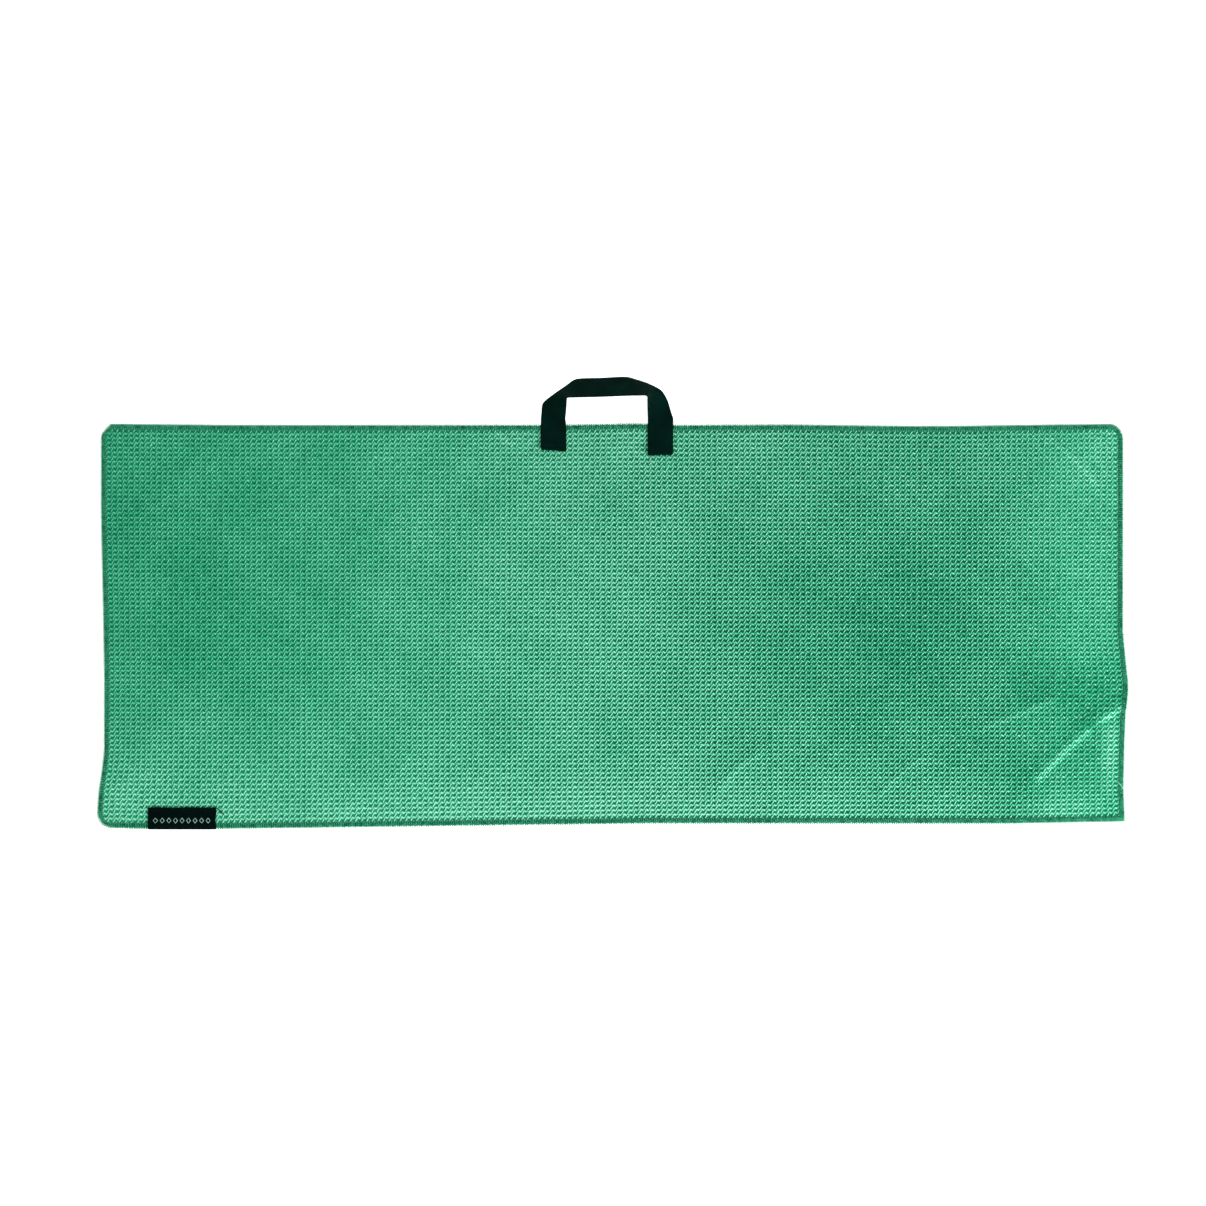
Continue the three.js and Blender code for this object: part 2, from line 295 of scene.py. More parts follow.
def tube(path, radius, sides, flatten=1.0):
    """Points and triangles of a closed round thread along a path. flatten squashes it in z."""
    path = np.asarray(path, float)
    tangent = np.gradient(path, axis=0)
    tangent /= np.maximum(np.linalg.norm(tangent, axis=1, keepdims=True), 1e-12)
    up = np.array([0.0, 0.0, 1.0])
    side = np.cross(tangent, up)
    length = np.linalg.norm(side, axis=1, keepdims=True)
    upright = length <= 0.05  # where the thread runs straight up or down, any side will do
    side = np.where(upright, [1.0, 0.0, 0.0], side / np.maximum(length, 1e-9))
    lift = np.cross(side, tangent)
    angle = (np.arange(sides) + 0.5) / sides * 2 * np.pi
    outwards = np.cos(angle)[None, :, None] * side[:, None]
    upwards = flatten * np.sin(angle)[None, :, None] * lift[:, None]
    points = (path[:, None] + radius * (outwards + upwards)).reshape(-1, 3)
    triangles = [grid_triangles(len(path), sides, wrap=True)[:, ::-1]]
    start_cap = len(points)
    end_cap = start_cap + 1
    points = np.concatenate([points, path[[0, -1]]])
    last_ring = (len(path) - 1) * sides
    for k in range(sides):
        following = (k + 1) % sides
        triangles.append([[k, following, start_cap]])
        triangles.append([[last_ring + following, last_ring + k, end_cap]])
    return points, np.concatenate(triangles)


def on_tube(values, sides):
    """Values at the points of a path, for every point of the tube round it."""
    return np.concatenate([np.repeat(values, sides, axis=0), values[[0, -1]]])


def together(parts):
    """One set of points and triangles from several."""
    points, triangles, count = [], [], 0
    for part_points, part_triangles in parts:
        points.append(part_points)
        triangles.append(np.asarray(part_triangles) + count)
        count += len(part_points)
    return np.concatenate(points), np.concatenate(triangles)


# ------------ materials
PLAIN_INPUTS = {
    "sheen": "Sheen Weight",
    "sheen_spread": "Sheen Roughness",
    "specular": "Specular IOR Level",
}


class Nodes:
    """A short way to write a material's node tree."""

    def __init__(self, name):
        self.material = bpy.data.materials.new(name)
        self.material.use_nodes = True
        self.tree = self.material.node_tree
        self.shader = self.tree.nodes["Principled BSDF"]

    def link(self, value, socket):
        if isinstance(value, bpy.types.NodeSocket):
            self.tree.links.new(value, socket)
        elif value is not None:
            socket.default_value = value

    def add(self, kind, inputs=(), **settings):
        node = self.tree.nodes.new(kind)
        for key, value in settings.items():
            setattr(node, key, value)
        for key, value in dict(inputs).items():
            self.link(value, node.inputs[key])
        return node

    def math(self, operation, a, b=None):
        given = {0: a} if b is None else {0: a, 1: b}
        return self.add("ShaderNodeMath", given, operation=operation).outputs[0]

    def plus(self, a, b):
        return self.math("ADD", a, b)

    def minus(self, a, b):
        return self.math("SUBTRACT", a, b)

    def times(self, a, b):
        return self.math("MULTIPLY", a, b)

    def positive(self, a):
        return self.math("ABSOLUTE", a)

    def centred(self, a):
        """The part of a number after its point, less a half: -0.5 to 0.5."""
        return self.minus(self.math("FRACT", a), 0.5)

    def attribute(self, name, output="Fac"):
        return self.add("ShaderNodeAttribute", attribute_name=name).outputs[output]

    def noise(self, vector, scale, detail=2.0, roughness=0.5):
        inputs = {"Vector": vector, "Scale": scale, "Detail": detail, "Roughness": roughness}
        return self.add("ShaderNodeTexNoise", inputs).outputs["Fac"]

    def ramp(self, value, low, high, out_low=0.0, out_high=1.0, smooth=True):
        inputs = dict(enumerate((value, low, high, out_low, out_high)))
        kind = "SMOOTHSTEP" if smooth else "LINEAR"
        return self.add("ShaderNodeMapRange", inputs, interpolation_type=kind).outputs[0]

    def mix(self, factor, first, second):
        node = self.add("ShaderNodeMix", data_type="RGBA")
        for socket, value in ((0, factor), (6, first), (7, second)):
            self.link(value, node.inputs[socket])
        return node.outputs[2]

    def colour_ramp(self, value, stops):
        node = self.add("ShaderNodeValToRGB", {0: value})
        elements = node.color_ramp.elements
        while len(elements) < len(stops):
            elements.new(1.0)
        for element, (position, colour) in zip(elements, stops):
            element.position, element.color = position, colour
        return node.outputs[0]

    def bump(self, height, distance, strength):
        inputs = {"Height": height, "Distance": distance, "Strength": strength}
        return self.add("ShaderNodeBump", inputs).outputs[0]

    def finish(self, colour, roughness, normal, **plain):
        self.link(colour, self.shader.inputs["Base Color"])
        self.link(roughness, self.shader.inputs["Roughness"])
        self.link(normal, self.shader.inputs["Normal"])
        for key, value in plain.items():
            self.shader.inputs[PLAIN_INPUTS[key]].default_value = value
        return self.material


def rgb(red, green, blue):
    """A linear colour from 0-255 sRGB numbers."""
    values = [v / 255 for v in (red, green, blue)]
    return (*[v / 12.92 if v <= 0.04045 else ((v + 0.055) / 1.055) ** 2.4 for v in values], 1.0)


def waffle_ribs(n, column, row):
    """How high the weave stands at each point, 0 in a recess and 1 on a rib, from its place in cells."""
    across, up = n.centred(column), n.centred(row)  # 0 in the middle of the recess
    beside = n.positive(n.plus(across, 0.05))

    leaning = n.minus(column, n.times(up, LEAN))
    steep = n.times(n.ramp(n.positive(n.centred(leaning)), 0.35, 0.48),
                    n.ramp(n.positive(up), 0.24, 0.46, 1.0, 0.25))
    steep = n.times(steep, n.ramp(up, -0.3, 0.3, 0.90, 1.14, False))

    tilted = n.plus(row, n.times(n.plus(across, 0.05), SLOPE))
    shallow = n.times(n.ramp(n.positive(n.centred(tilted)), 0.20, 0.43),
                      n.ramp(beside, 0.12, 0.37, 0.82, 0.0))
    between_rows = n.times(n.ramp(n.positive(up), 0.32, 0.49), 0.54)
    return n.math("MAXIMUM", n.math("MAXIMUM", steep, shallow), between_rows)


def waffle_material():
    """Microfibre waffle cloth: star-shaped recesses between steep ribs and shallow slanting ones,
    with painted shade darkening the recesses and painted highlights on the ribs.
    """
    n = Nodes("waffle_microfibre")
    flat = n.attribute("flat", "Vector")
    pile = n.attribute("pile")
    x, y, _ = n.add("ShaderNodeSeparateXYZ", {0: flat}).outputs
    waver = n.add("ShaderNodeTexNoise", {"Vector": flat, "Scale": 190.0, "Detail": 1.0}).outputs["Color"]
    waver_x, waver_y, _ = n.add("ShaderNodeSeparateXYZ", {0: waver}).outputs
    column = n.plus(n.math("DIVIDE", x, CELL_X), n.times(n.minus(waver_x, 0.5), WAVER))
    row = n.plus(n.math("DIVIDE", y, CELL_Y), n.times(n.minus(waver_y, 0.5), WAVER))
    ridge = waffle_ribs(n, column, row)

    cell = n.add("ShaderNodeCombineXYZ", {0: n.math("FLOOR", column), 1: n.math("FLOOR", row)}).outputs[0]
    chance = n.add("ShaderNodeTexWhiteNoise", {0: cell}, noise_dimensions="2D").outputs["Value"]
    fibre = n.noise(flat, 900.0, 3.0, 0.65)
    patch = n.noise(flat, 45.0, 3.0, 0.55)
    # the contrast of the painted shade and highlights on the weave grows from the towel's left to its
    # middle and falls again at its right end
    painted_shading_contrast = n.plus(n.ramp(x, -0.32, 0.10, 0.72, 1.02), n.ramp(x, 0.36, 0.47, 0.0, -0.26))
    # ribs painted lighter and recesses painted darker: painted highlight and painted shade
    tone = n.times(n.minus(ridge, 0.5), painted_shading_contrast)
    for part, size in ((chance, 0.08), (fibre, 0.85), (patch, 0.05)):
        tone = n.plus(tone, n.times(n.minus(part, 0.5), size))
    glint = n.times(n.ramp(n.noise(flat, 430.0, 1.0), 0.57, 0.65), n.ramp(ridge, 0.3, 0.8, 0.06, 0.40))
    glint = n.times(glint, n.ramp(x, -0.36, 0.0, 0.35, 1.0))
    # painted light and shade from the wrinkles and patches, speckled and stronger on the ribs
    painted_light_tone = n.times(pile, n.ramp(n.noise(flat, 230.0, 2.0, 0.6), 0.35, 0.65, 0.65, 1.35))
    painted_light_tone = n.times(painted_light_tone, n.ramp(ridge, 0.1, 0.8, 0.6, 1.25))
    tone = n.plus(n.plus(tone, 0.56), n.plus(painted_light_tone, glint))

    # the cloth's green, from painted shade in the recesses to painted highlights on the ribs
    stops = [
        (0.0, rgb(9, 83, 60)), (0.315, rgb(26, 145, 102)), (0.61, rgb(75, 197, 150)),
        (0.90, rgb(154, 232, 202)), (1.0, rgb(176, 239, 215)),
    ]
    colour = n.colour_ramp(n.times(tone, 0.9), stops)
    # painted shade on the cloth in the gaps between the overlock threads
    shaded_under_threads = n.ramp(n.attribute("inset"), 3.9 * MM, 5.8 * MM, 1.0, 0.0)
    colour = n.mix(shaded_under_threads, colour, rgb(14, 88, 62))
    rough = n.ramp(fibre, 0.3, 0.7, 0.86, 0.98, False)
    relief = n.plus(n.times(ridge, 0.7), n.times(fibre, 0.7))
    normal = n.bump(relief, 0.45 * MM, 0.7)
    return n.finish(colour, rough, normal, sheen=0.08, sheen_spread=0.4, specular=0.03)


def thread_material(name, dark, light, twist_scale=900.0, rough=0.72):
    """Twisted or bulked sewing thread, with plies across it."""
    n = Nodes(name)
    where = n.attribute("flat", "Vector")
    ply = n.noise(where, twist_scale, 2.0, 0.6)
    broad = n.noise(where, 230.0, 2.0, 0.5)
    tone = n.plus(n.times(ply, 0.6), n.times(broad, 0.55))
    colour = n.mix(n.ramp(tone, 0.38, 0.76), dark, light)
    roughness = n.ramp(ply, 0.3, 0.7, rough - 0.1, rough + 0.12, False)
    return n.finish(colour, roughness, n.bump(ply, 0.2 * MM, 0.6), specular=0.01)


def webbing_material(name, dark, light, rib=1.05 * MM, ply=1.0):
    """Tight ribbed webbing or label tape: a fine plain weave with uneven fibres."""
    n = Nodes(name)
    flat = n.attribute("flat", "Vector")
    x, y, _ = n.add("ShaderNodeSeparateXYZ", {0: flat}).outputs
    across = n.math("SINE", n.times(x, 2 * math.pi / rib))
    along = n.math("SINE", n.times(y, 2 * math.pi / (0.9 * rib)))
    weave = n.ramp(n.times(across, along), -1, 1, 0, 1, False)
    fibre = n.noise(flat, 1500.0, 3.0, 0.6)
    broad = n.noise(flat, 45.0, 2.0, 0.5)
    tone = n.plus(n.times(weave, 0.5), n.times(fibre, 0.6))
    tone = n.times(tone, n.ramp(broad, 0.3, 0.7, 0.75, 1.15, False))
    colour = n.mix(n.ramp(tone, 0.25, 0.95), dark, light)
    relief = n.plus(weave, n.times(fibre, 0.5 * ply))
    rough = n.ramp(fibre, 0.3, 0.7, 0.62, 0.85, False)
    return n.finish(colour, rough, n.bump(relief, 0.12 * MM, 0.8), specular=0.02)


def floor_material():
    n = Nodes("pale_floor")
    grain = n.noise(n.add("ShaderNodeTexCoord").outputs["Object"], 3.0, 2.0, 0.5)
    colour = n.mix(grain, (0.86, 0.86, 0.86, 1), (0.9, 0.9, 0.9, 1))
    n.shader.inputs["Emission Color"].default_value = (1, 1, 1, 1)
    n.shader.inputs["Emission Strength"].default_value = 0.85
    return n.finish(colour, 0.9, None, specular=0.0)


WAFFLE = waffle_material()
EDGE_THREAD = thread_material("overlock_thread", rgb(12, 98, 68), rgb(70, 190, 142))
NEEDLE_THREAD = thread_material("needle_thread", rgb(30, 104, 76), rgb(84, 176, 136))
BLACK_THREAD = thread_material("black_sewing_thread", rgb(4, 14, 12), rgb(24, 40, 36), 1300.0, 0.62)
PALE_THREAD = thread_material("pale_label_thread", rgb(112, 162, 145), rgb(182, 222, 206), 1600.0, 0.6)
LOOSE_THREAD = thread_material("loose_green_thread", rgb(120, 205, 168), rgb(185, 240, 215))
WEBBING = webbing_material("black_webbing", rgb(0, 16, 12), rgb(1, 37, 30))
LABEL_CLOTH = webbing_material("label_damask", rgb(0, 9, 8), rgb(2, 22, 20), rib=0.5 * MM, ply=0.6)


# ------------ the outline
def outline(inset):
    """Flat points round the towel's edge, clockwise from the middle of its top, at an inset.
    The points of any two insets match one to one."""
    x, y = HALF_X - inset, HALF_Y - inset

    def arc(name, centre_x, centre_y, first_quarter):
        radius = max(CORNERS[name] - inset, 0.02 * MM)
        cx, cy = centre_x * (x - radius), centre_y * (y - radius)
        angle = (first_quarter - np.arange(CORNER_STEPS + 1) / CORNER_STEPS) * np.pi / 2
        return [(cx + radius * math.cos(a), cy + radius * math.sin(a)) for a in angle]

    cut = max(CORNERS["top_left"] - inset * (2 - math.sqrt(2)), 0.02 * MM)
    shares = [(0, 1.5), (0.1, 1.08), (0.37, 0.63), (1.04, 0)]
    chamfer = [(-x + cut * along, y - cut * down) for along, down in shares]
    points = [(0, y), *arc("top_right", 1, 1, 1), *arc("bottom_right", 1, -1, 0)]
    points += [(0, -y), *arc("bottom_left", -1, -1, -1), *chamfer, (0, y)]
    return np.array(points)


def line_length(line):
    """The distance along a line of points to each of them."""
    return np.concatenate([[0], np.cumsum(np.linalg.norm(np.diff(line, axis=0), axis=1))])


OUTER_LENGTH = line_length(outline(0))


def on_edge(s, inset):
    """Flat points at distances s round the edge, each at its own inset, between matching outlines."""
    s, inset = np.broadcast_arrays(np.asarray(s, float), np.asarray(inset, float))
    levels, step = 4, 2 * MM
    lines = [outline(level * step) for level in range(levels)]
    found = np.array([[np.interp(s, OUTER_LENGTH, line[:, axis]) for axis in (0, 1)] for line in lines])
    place = np.clip(inset / step, -0.5, levels - 1)
    low = np.clip(np.floor(place).astype(int), 0, levels - 2)
    part = place - low
    index = np.arange(s.size).reshape(s.shape)
    x, y = (found[low, axis, index] * (1 - part) + found[low + 1, axis, index] * part for axis in (0, 1))
    return x, y


SEAM_X = (SEAM_COLUMNS + 0.5) * CELL_X
BOTTOM_MIDDLE = OUTER_LENGTH[1 + 2 * (CORNER_STEPS + 1)]  # the point after the two right corners
ROUND = OUTER_LENGTH[-1]
RUNS = {  # where each run of edge thread starts and ends, as distances round the outline
    "top": (-SEAM_X, SEAM_X),
    "right": (SEAM_X, BOTTOM_MIDDLE - SEAM_X),
    "bottom": (BOTTOM_MIDDLE - SEAM_X, BOTTOM_MIDDLE + SEAM_X),
    "left": (BOTTOM_MIDDLE + SEAM_X, ROUND - SEAM_X),
}


def row_limits(y):
    """The cloth's left and right limits at each flat y, from its corners."""
    limits = []
    for side in ("left", "right"):
        cut = np.zeros_like(y)
        for level, sign in (("top", 1), ("bottom", -1)):
            size = CORNERS[f"{level}_{side}"]
            inside = np.clip(HALF_Y - CLOTH_INSET - sign * y, 0, size)
            if (level, side) == ("top", "left"):
                cut = np.maximum(cut, size - inside)
            else:
                cut = np.maximum(cut, size - np.sqrt(np.maximum(size**2 - (size - inside) ** 2, 0)))
        limits.append(HALF_X - CLOTH_INSET - cut)
    return -limits[0], limits[1]


# ------------ the cloth
def waffle_height(row, column):
    """Relief of the face at mesh rows and columns: 0 in a recess and 1 on top of a rib."""
    c, r = column % ACROSS_CELL, row % UP_CELL
    shallow_rib = np.select([c == 1, c == 2, c == 3], [0.80, 0.92, 0.80], 0.52)
    steep_rib = np.where(r == 1, 0.88, 1.0)
    inside = np.where(c == 2, 0.0, 0.20)
    return np.where(r == 0, shallow_rib, np.where(c == 0, steep_rib, inside))


def cloth_places(row, column):
    """Flat x and y of mesh points and their distance from the cloth's edge. Rows and columns follow
    the slanting ribs, and are drawn in at the towel's ends to follow its rounded corners."""
    step = row % UP_CELL
    lean = np.where(step == 0, 0, (step / UP_CELL - 0.5) * LEAN)
    drop = np.where(step == 0, np.choose((column % ACROSS_CELL).astype(int), [0, 0.14, -0.02, -0.15]), 0)
    x = (column / ACROSS_CELL + lean) * CELL_X
    y = np.clip((row / UP_CELL + drop) * CELL_Y, -HALF_Y, HALF_Y)
    left, right = row_limits(y)
    y = y * (HALF_Y - CLOTH_INSET) / HALF_Y
    ease = smoothstep(HALF_X - 70 * MM, HALF_X, np.abs(x))
    limit = np.where(x < 0, -left, right)
    x = np.clip(x * (1 - ease * (1 - limit / HALF_X)), left, right)
    inset = np.minimum(np.minimum(x - left, right - x), HALF_Y - CLOTH_INSET - np.abs(y))
    return x, y, inset


def cloth_heights(row, column, inset):
    """Heights of the face and the back: waffle inside, pressed thin and even under the overlock."""
    grow = smoothstep(2.2 * MM, 5.6 * MM, inset)
    jitter = 0.16 * rng.standard_normal(inset.shape) * grow
    jitter[:, [0, -1]] = 0  # so that neighbouring pieces meet exactly
    face = CLOTH_TOP - FACE_DEPTH * (1 - waffle_height(row, column)) * (1 + jitter)
    back = BACK_DEPTH * (1 - waffle_height(row, column + 2))
    rim = smoothstep(-0.4 * MM, 1.4 * MM, inset)
    face = face * grow + (1.45 + 0.5 * rim) * MM * (1 - grow)
    back = back * grow + (1.4 - 0.1 * rim) * MM * (1 - grow)
    return face, np.maximum(back, 0.02 * MM)


def closed_sheet(shape):
    """Triangles of a grid of top points and the same grid of low points, and of the wall round them."""
    index = np.arange(shape[0] * shape[1]).reshape(shape)
    ring = np.concatenate([index[0, :-1], index[:-1, -1], index[-1, :0:-1], index[:0:-1, 0]])
    following = np.roll(ring, -1)
    wall = np.concatenate([
        np.stack([ring, ring + index.size, following + index.size], -1),
        np.stack([ring, following + index.size, following], -1),
    ])
    low = grid_triangles(*shape, first=index.size)[:, ::-1]
    return np.concatenate([grid_triangles(*shape), low, wall]), len(wall)


def cloth_piece(name, first_cell, last_cell):
    """A closed piece of waffle cloth between two columns of cells counted from the towel's middle."""
    columns = np.arange(first_cell * ACROSS_CELL, last_cell * ACROSS_CELL + 1)
    half_rows = CELL_ROWS * UP_CELL // 2
    row, column = np.meshgrid(np.arange(-half_rows, half_rows + 1), columns, indexing="ij")
    x, y, inset = cloth_places(row, column)
    faces = [lay(x, y, height).reshape(-1, 3) for height in cloth_heights(row, column, inset)]
    triangles, wall_count = closed_sheet(row.shape)
    flat = np.stack([x, y, np.zeros_like(x)], -1).reshape(-1, 3)
    behind = flat + [0.5 * CELL_X, 0, 1]
    obj = make_mesh(
        name, np.concatenate(faces), triangles, WAFFLE, wall_count,
        flat=np.concatenate([flat, behind]),
        inset=np.tile(inset.ravel(), 2),
        # painted light and shade for the shader
        pile=np.tile(lie(x, y)[1].ravel(), 2),
    )
    return obj


# ------------ the overlock
def looper_path(s, pitch, z, toward):
    """One looper thread: each stitch runs from the needle line over the edge and back. toward is 1 on
    the face and -1 on the back."""
    # part of the stitch, inset in millimetres, height in millimetres away from the cloth
    shape = np.array([
        (0.00, 5.1, -0.25), (0.08, 4.4, 0.10), (0.19, 2.5, 0.16), (0.28, 0.15, -0.02),
        (0.48, -0.30, -0.42), (0.68, 0.10, -0.04), (0.79, 2.5, 0.14), (0.92, 4.4, 0.08),
    ])
    part = (s[:, None] + pitch * shape[None, :, 0]).ravel()
    inset = np.tile(shape[:, 1] * MM, len(s))
    loose = np.repeat(rng.normal(0, 0.10, len(s)), len(shape)) + rng.normal(0, 0.05, part.size)
    x, y = on_edge(part, 0)
    under_label = (np.abs(x - LABEL_X) < LABEL_WIDTH / 2 + 1 * MM) & (y < 0)
    inset = np.where(under_label, np.maximum(inset, 0.55 * MM), inset)
    x, y = on_edge(part, inset + loose * MM)
    height = z + toward * np.tile(shape[:, 2] * MM, len(s))
    return lay(x, y, height), np.stack([part, inset, np.full_like(part, toward)], -1)


def needle_path(s, pitch, z):
    """The straight row: each stitch rises out of the cloth, runs over the loopers and dives again."""
    # part of the stitch, height in millimetres
    shape = np.array([(0.0, -0.75), (0.16, 0.06), (0.5, 0.20), (0.84, 0.06)])
    part = (s[:, None] + pitch * shape[None, :, 0]).ravel()
    x, y = on_edge(part, np.full_like(part, NEEDLE_INSET))
    height = z + np.tile(shape[:, 1] * MM, len(s))
    return lay(x, y, height), np.stack([part, np.zeros_like(part), np.zeros_like(part)], -1)


def edge_thread(run, name, cad_name, radius, material, path_of, *place):
    """One thread of a run, of whole stitches, along the path that path_of gives for that place."""
    start, end = RUNS[run]
    count = round((end - start) / STITCH)
    pitch = (end - start) / count
    path, flat = path_of(np.mod(start + pitch * np.arange(count), ROUND), pitch, *place)
    points, triangles = tube(path, radius, 4)
    obj = make_mesh(f"{name}_thread_{run}", points, triangles, material, flat=on_tube(flat, 4))
    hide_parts(f"overlock_{cad_name}_thread_{run}")
    return obj


def loose_end():
    """The end of a sewing thread that sticks out of the overlock low on the towel's right edge."""
    t = np.linspace(0, 1, 18)
    x = HALF_X + (-6.3 + 6.4 * t + 0.5 * np.sin(5 * t)) * MM
    y = (-157.5 - 8.0 * t**0.8) * MM
    z = CLOTH_TOP + (0.35 + 0.5 * np.sin(np.pi * t)) * MM
    path = lay(x, y, z)
    points, triangles = tube(path, 0.32 * MM, 6)
    obj = make_mesh("loose_thread_end", points, triangles, LOOSE_THREAD, flat=on_tube(path, 6))
    return obj


def overlock(run):
    """The three threads of one run of the edge."""
    needle_z = FACE_THREAD_Z + 0.2 * MM
    threads = [  # name, the CAD's word for it, radius, look, route, height and side
        ("upper_looper", "face", THREAD, EDGE_THREAD, looper_path, FACE_THREAD_Z, 1),
        ("lower_looper", "back", THREAD, EDGE_THREAD, looper_path, BACK_THREAD_Z, -1),
        ("needle", "needle", NEEDLE_RADIUS, NEEDLE_THREAD, needle_path, needle_z),
    ]
    return [edge_thread(run, *thread) for thread in threads]


# ------------ the webbing
strap_box = {side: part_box(f"handle_end_{side}") for side in ("left", "right")}
STRAP_X = {side: (low.x + high.x) / 2 for side, (low, high) in strap_box.items()}
STRAP_TIP = {side: low.y for side, (low, _) in strap_box.items()}
STRAP_Z = strap_box["left"][0].z
HALF_TAIL = 12.7 * MM  # half the webbing's width where it is sewn down
EDGE_Y = MIDDLE_Y + HALF_Y
TIGHTNESS = 0.42  # Catmull-Rom's own is 0.5
PULL_BACK = 0.075  # the camera sees a raised point further out by this share of its height


def catmull(points, per_span):
    """A smooth line through points, a little tighter than Catmull-Rom's."""
    p = np.asarray(points, float)
    p = np.concatenate([p[:1] * 2 - p[1:2], p, p[-1:] * 2 - p[-2:-1]])
    out = []
    t = np.linspace(0, 1, per_span, endpoint=False)[:, None]
    for a, b, c, d in zip(p, p[1:], p[2:], p[3:]):
        leaving, arriving = TIGHTNESS * (c - a), TIGHTNESS * (d - b)
        out.append((2 * t**3 - 3 * t**2 + 1) * b + (t**3 - 2 * t**2 + t) * leaving
                   + (-2 * t**3 + 3 * t**2) * c + (t**3 - t**2) * arriving)
    return np.concatenate([*out, p[-2:-1]])


def tail_stations(side):
    """A sewn end from its hidden cut end, round the hem's fold, to the towel's edge. Each station pairs
    a point on the leg's outer edge with one on its inner edge: x, distance past the towel's edge, z."""
    sign = -1 if side == "left" else 1
    middle = STRAP_X[side]
    tip = STRAP_TIP[side] - EDGE_Y
    skew = {"left": -0.9 * MM, "right": -0.4 * MM}[side]
    half = WEBBING_THICK / 2
    low, high = STRAP_Z + half, STRAP_Z + 3 * half + 0.05 * MM
    profile = [  # distance from the tip, height of the webbing's middle
        (7.2 * MM, low), (4 * MM, low), (1.0 * MM, low), (0.15 * MM, low + 0.4 * half),
        (-0.1 * MM, (low + high) / 2), (0.15 * MM, high - 0.4 * half), (1.0 * MM, high),
        (4 * MM, high + 0.05 * MM), (7 * MM, high), (9.8 * MM, low + 0.25 * MM), (13 * MM, low),
    ]
    reach = -tip
    profile += [(reach - 6 * MM, low), (reach, low + 0.15 * MM)]
    half_width = [HALF_TAIL - 0.5 * MM * bump(y, 0, 1.2 * MM) for y, _ in profile]
    outer = [(middle + sign * half_width[k], tip + y - skew, z) for k, (y, z) in enumerate(profile)]
    inner = [(middle - sign * half_width[k], tip + y + skew, z) for k, (y, z) in enumerate(profile)]
    return list(zip(outer, inner))


def loop_stations():
    """The free loop, as part of the CAD ribbon's route: outer edge on the table, inner edge standing."""
    half = WEBBING_WIDTH / 2
    lo, li = (STRAP_X["left"] - half) / MM, (STRAP_X["left"] + half - 0.6 * MM) / MM
    ro, ri = (STRAP_X["right"] + half) / MM, (STRAP_X["right"] - half) / MM
    flat = STRAP_Z / MM + 0.65
    table = 0.95
    stations = [  # x, distance past the towel's edge and height, in millimetres
        ((lo + 0.1, 6, flat), (li - 0.3, 6, flat)),
        ((lo + 0.6, 12, 2.6), (li + 0.3, 12, 4.8)),
        ((lo + 2.2, 21.8, table), (li + 0.9, 20, 9.5)),
        ((-57, 31.2, table), (li + 1.3, 26, 18)),
        ((-46, 38.8, table), (-43, 27.2, 20)),
        ((-34.8, 45.8, table), (-34, 27.5, 18.8)),
        ((-12, 46.8, table), (-12, 28, 18)),
        ((13.6, 47.9, table), (12, 28.9, 18.2)),
        ((24, 45.5, table), (24, 29.3, 19)),
        ((34.8, 42.0, table), (33, 29.5, 20)),
        ((43.6, 38.0, table), (ri - 0.5, 28, 19.6)),
        ((50.4, 33.6, table), (ri - 0.4, 25, 16.5)),
        ((55.8, 24.4, 1.1), (ri - 0.3, 20.5, 10)),
        ((59.4, 12.8, 2.5), (ri - 0.1, 12, 4.9)),
        ((ro + 0.2, 6, flat), (ri + 0.1, 6, flat)),
    ]
    return [
        tuple((x * MM, (y - PULL_BACK * max(z - 1, 0)) * MM, z * MM) for x, y, z in pair)
        for pair in stations
    ]


def strip(middle, thickness, relief):
    """A closed woven strip round a grid of middle points, rows by columns, with relief on both faces."""
    rows, columns = middle.shape[:2]
    normal = np.cross(np.gradient(middle, axis=1), np.gradient(middle, axis=0))
    normal /= np.maximum(np.linalg.norm(normal, axis=2, keepdims=True), 1e-12)
    part = np.linspace(-1, 1, columns)
    rounding = np.sqrt(np.clip(1 - part**12, 0, 1))
    half = thickness / 2 * (0.25 + 0.75 * rounding)[None, :]
    top = middle + normal * (half + relief)[..., None]
    low = middle - normal * (half + relief)[..., None]
    points = np.concatenate([top, low[:, ::-1]], axis=1).reshape(-1, 3)
    width = 2 * columns
    ends = []
    for first, flip in ((0, 1), ((rows - 1) * width, -1)):
        for k in range(columns - 1):
            a, b = first + k, first + k + 1
            c, d = first + width - 2 - k, first + width - 1 - k
            ends += [[a, b, c][::flip], [a, c, d][::flip]]
    return points, np.concatenate([grid_triangles(rows, width, wrap=True), ends])


def strip_flat(columns, width, length):
    """Where each point of a strip is in its weave: across, along, and 1 on the back."""
    across = np.concatenate([np.linspace(0, 1, columns), np.linspace(1, 0, columns)]) * width
    side = np.repeat([0.0, 1.0], columns)
    grid = np.broadcast_arrays(across[None, :], np.asarray(length)[:, None], side[None, :])
    return np.stack(grid, -1).reshape(-1, 3)


def plain_weave(rows, columns, height):
    """Relief of a plain weave, with its yarns a little uneven."""
    row, column = np.meshgrid(np.arange(rows), np.arange(columns), indexing="ij")
    return height * np.cos(np.pi * (row + column)) + 0.4 * height * rng.standard_normal((rows, columns))


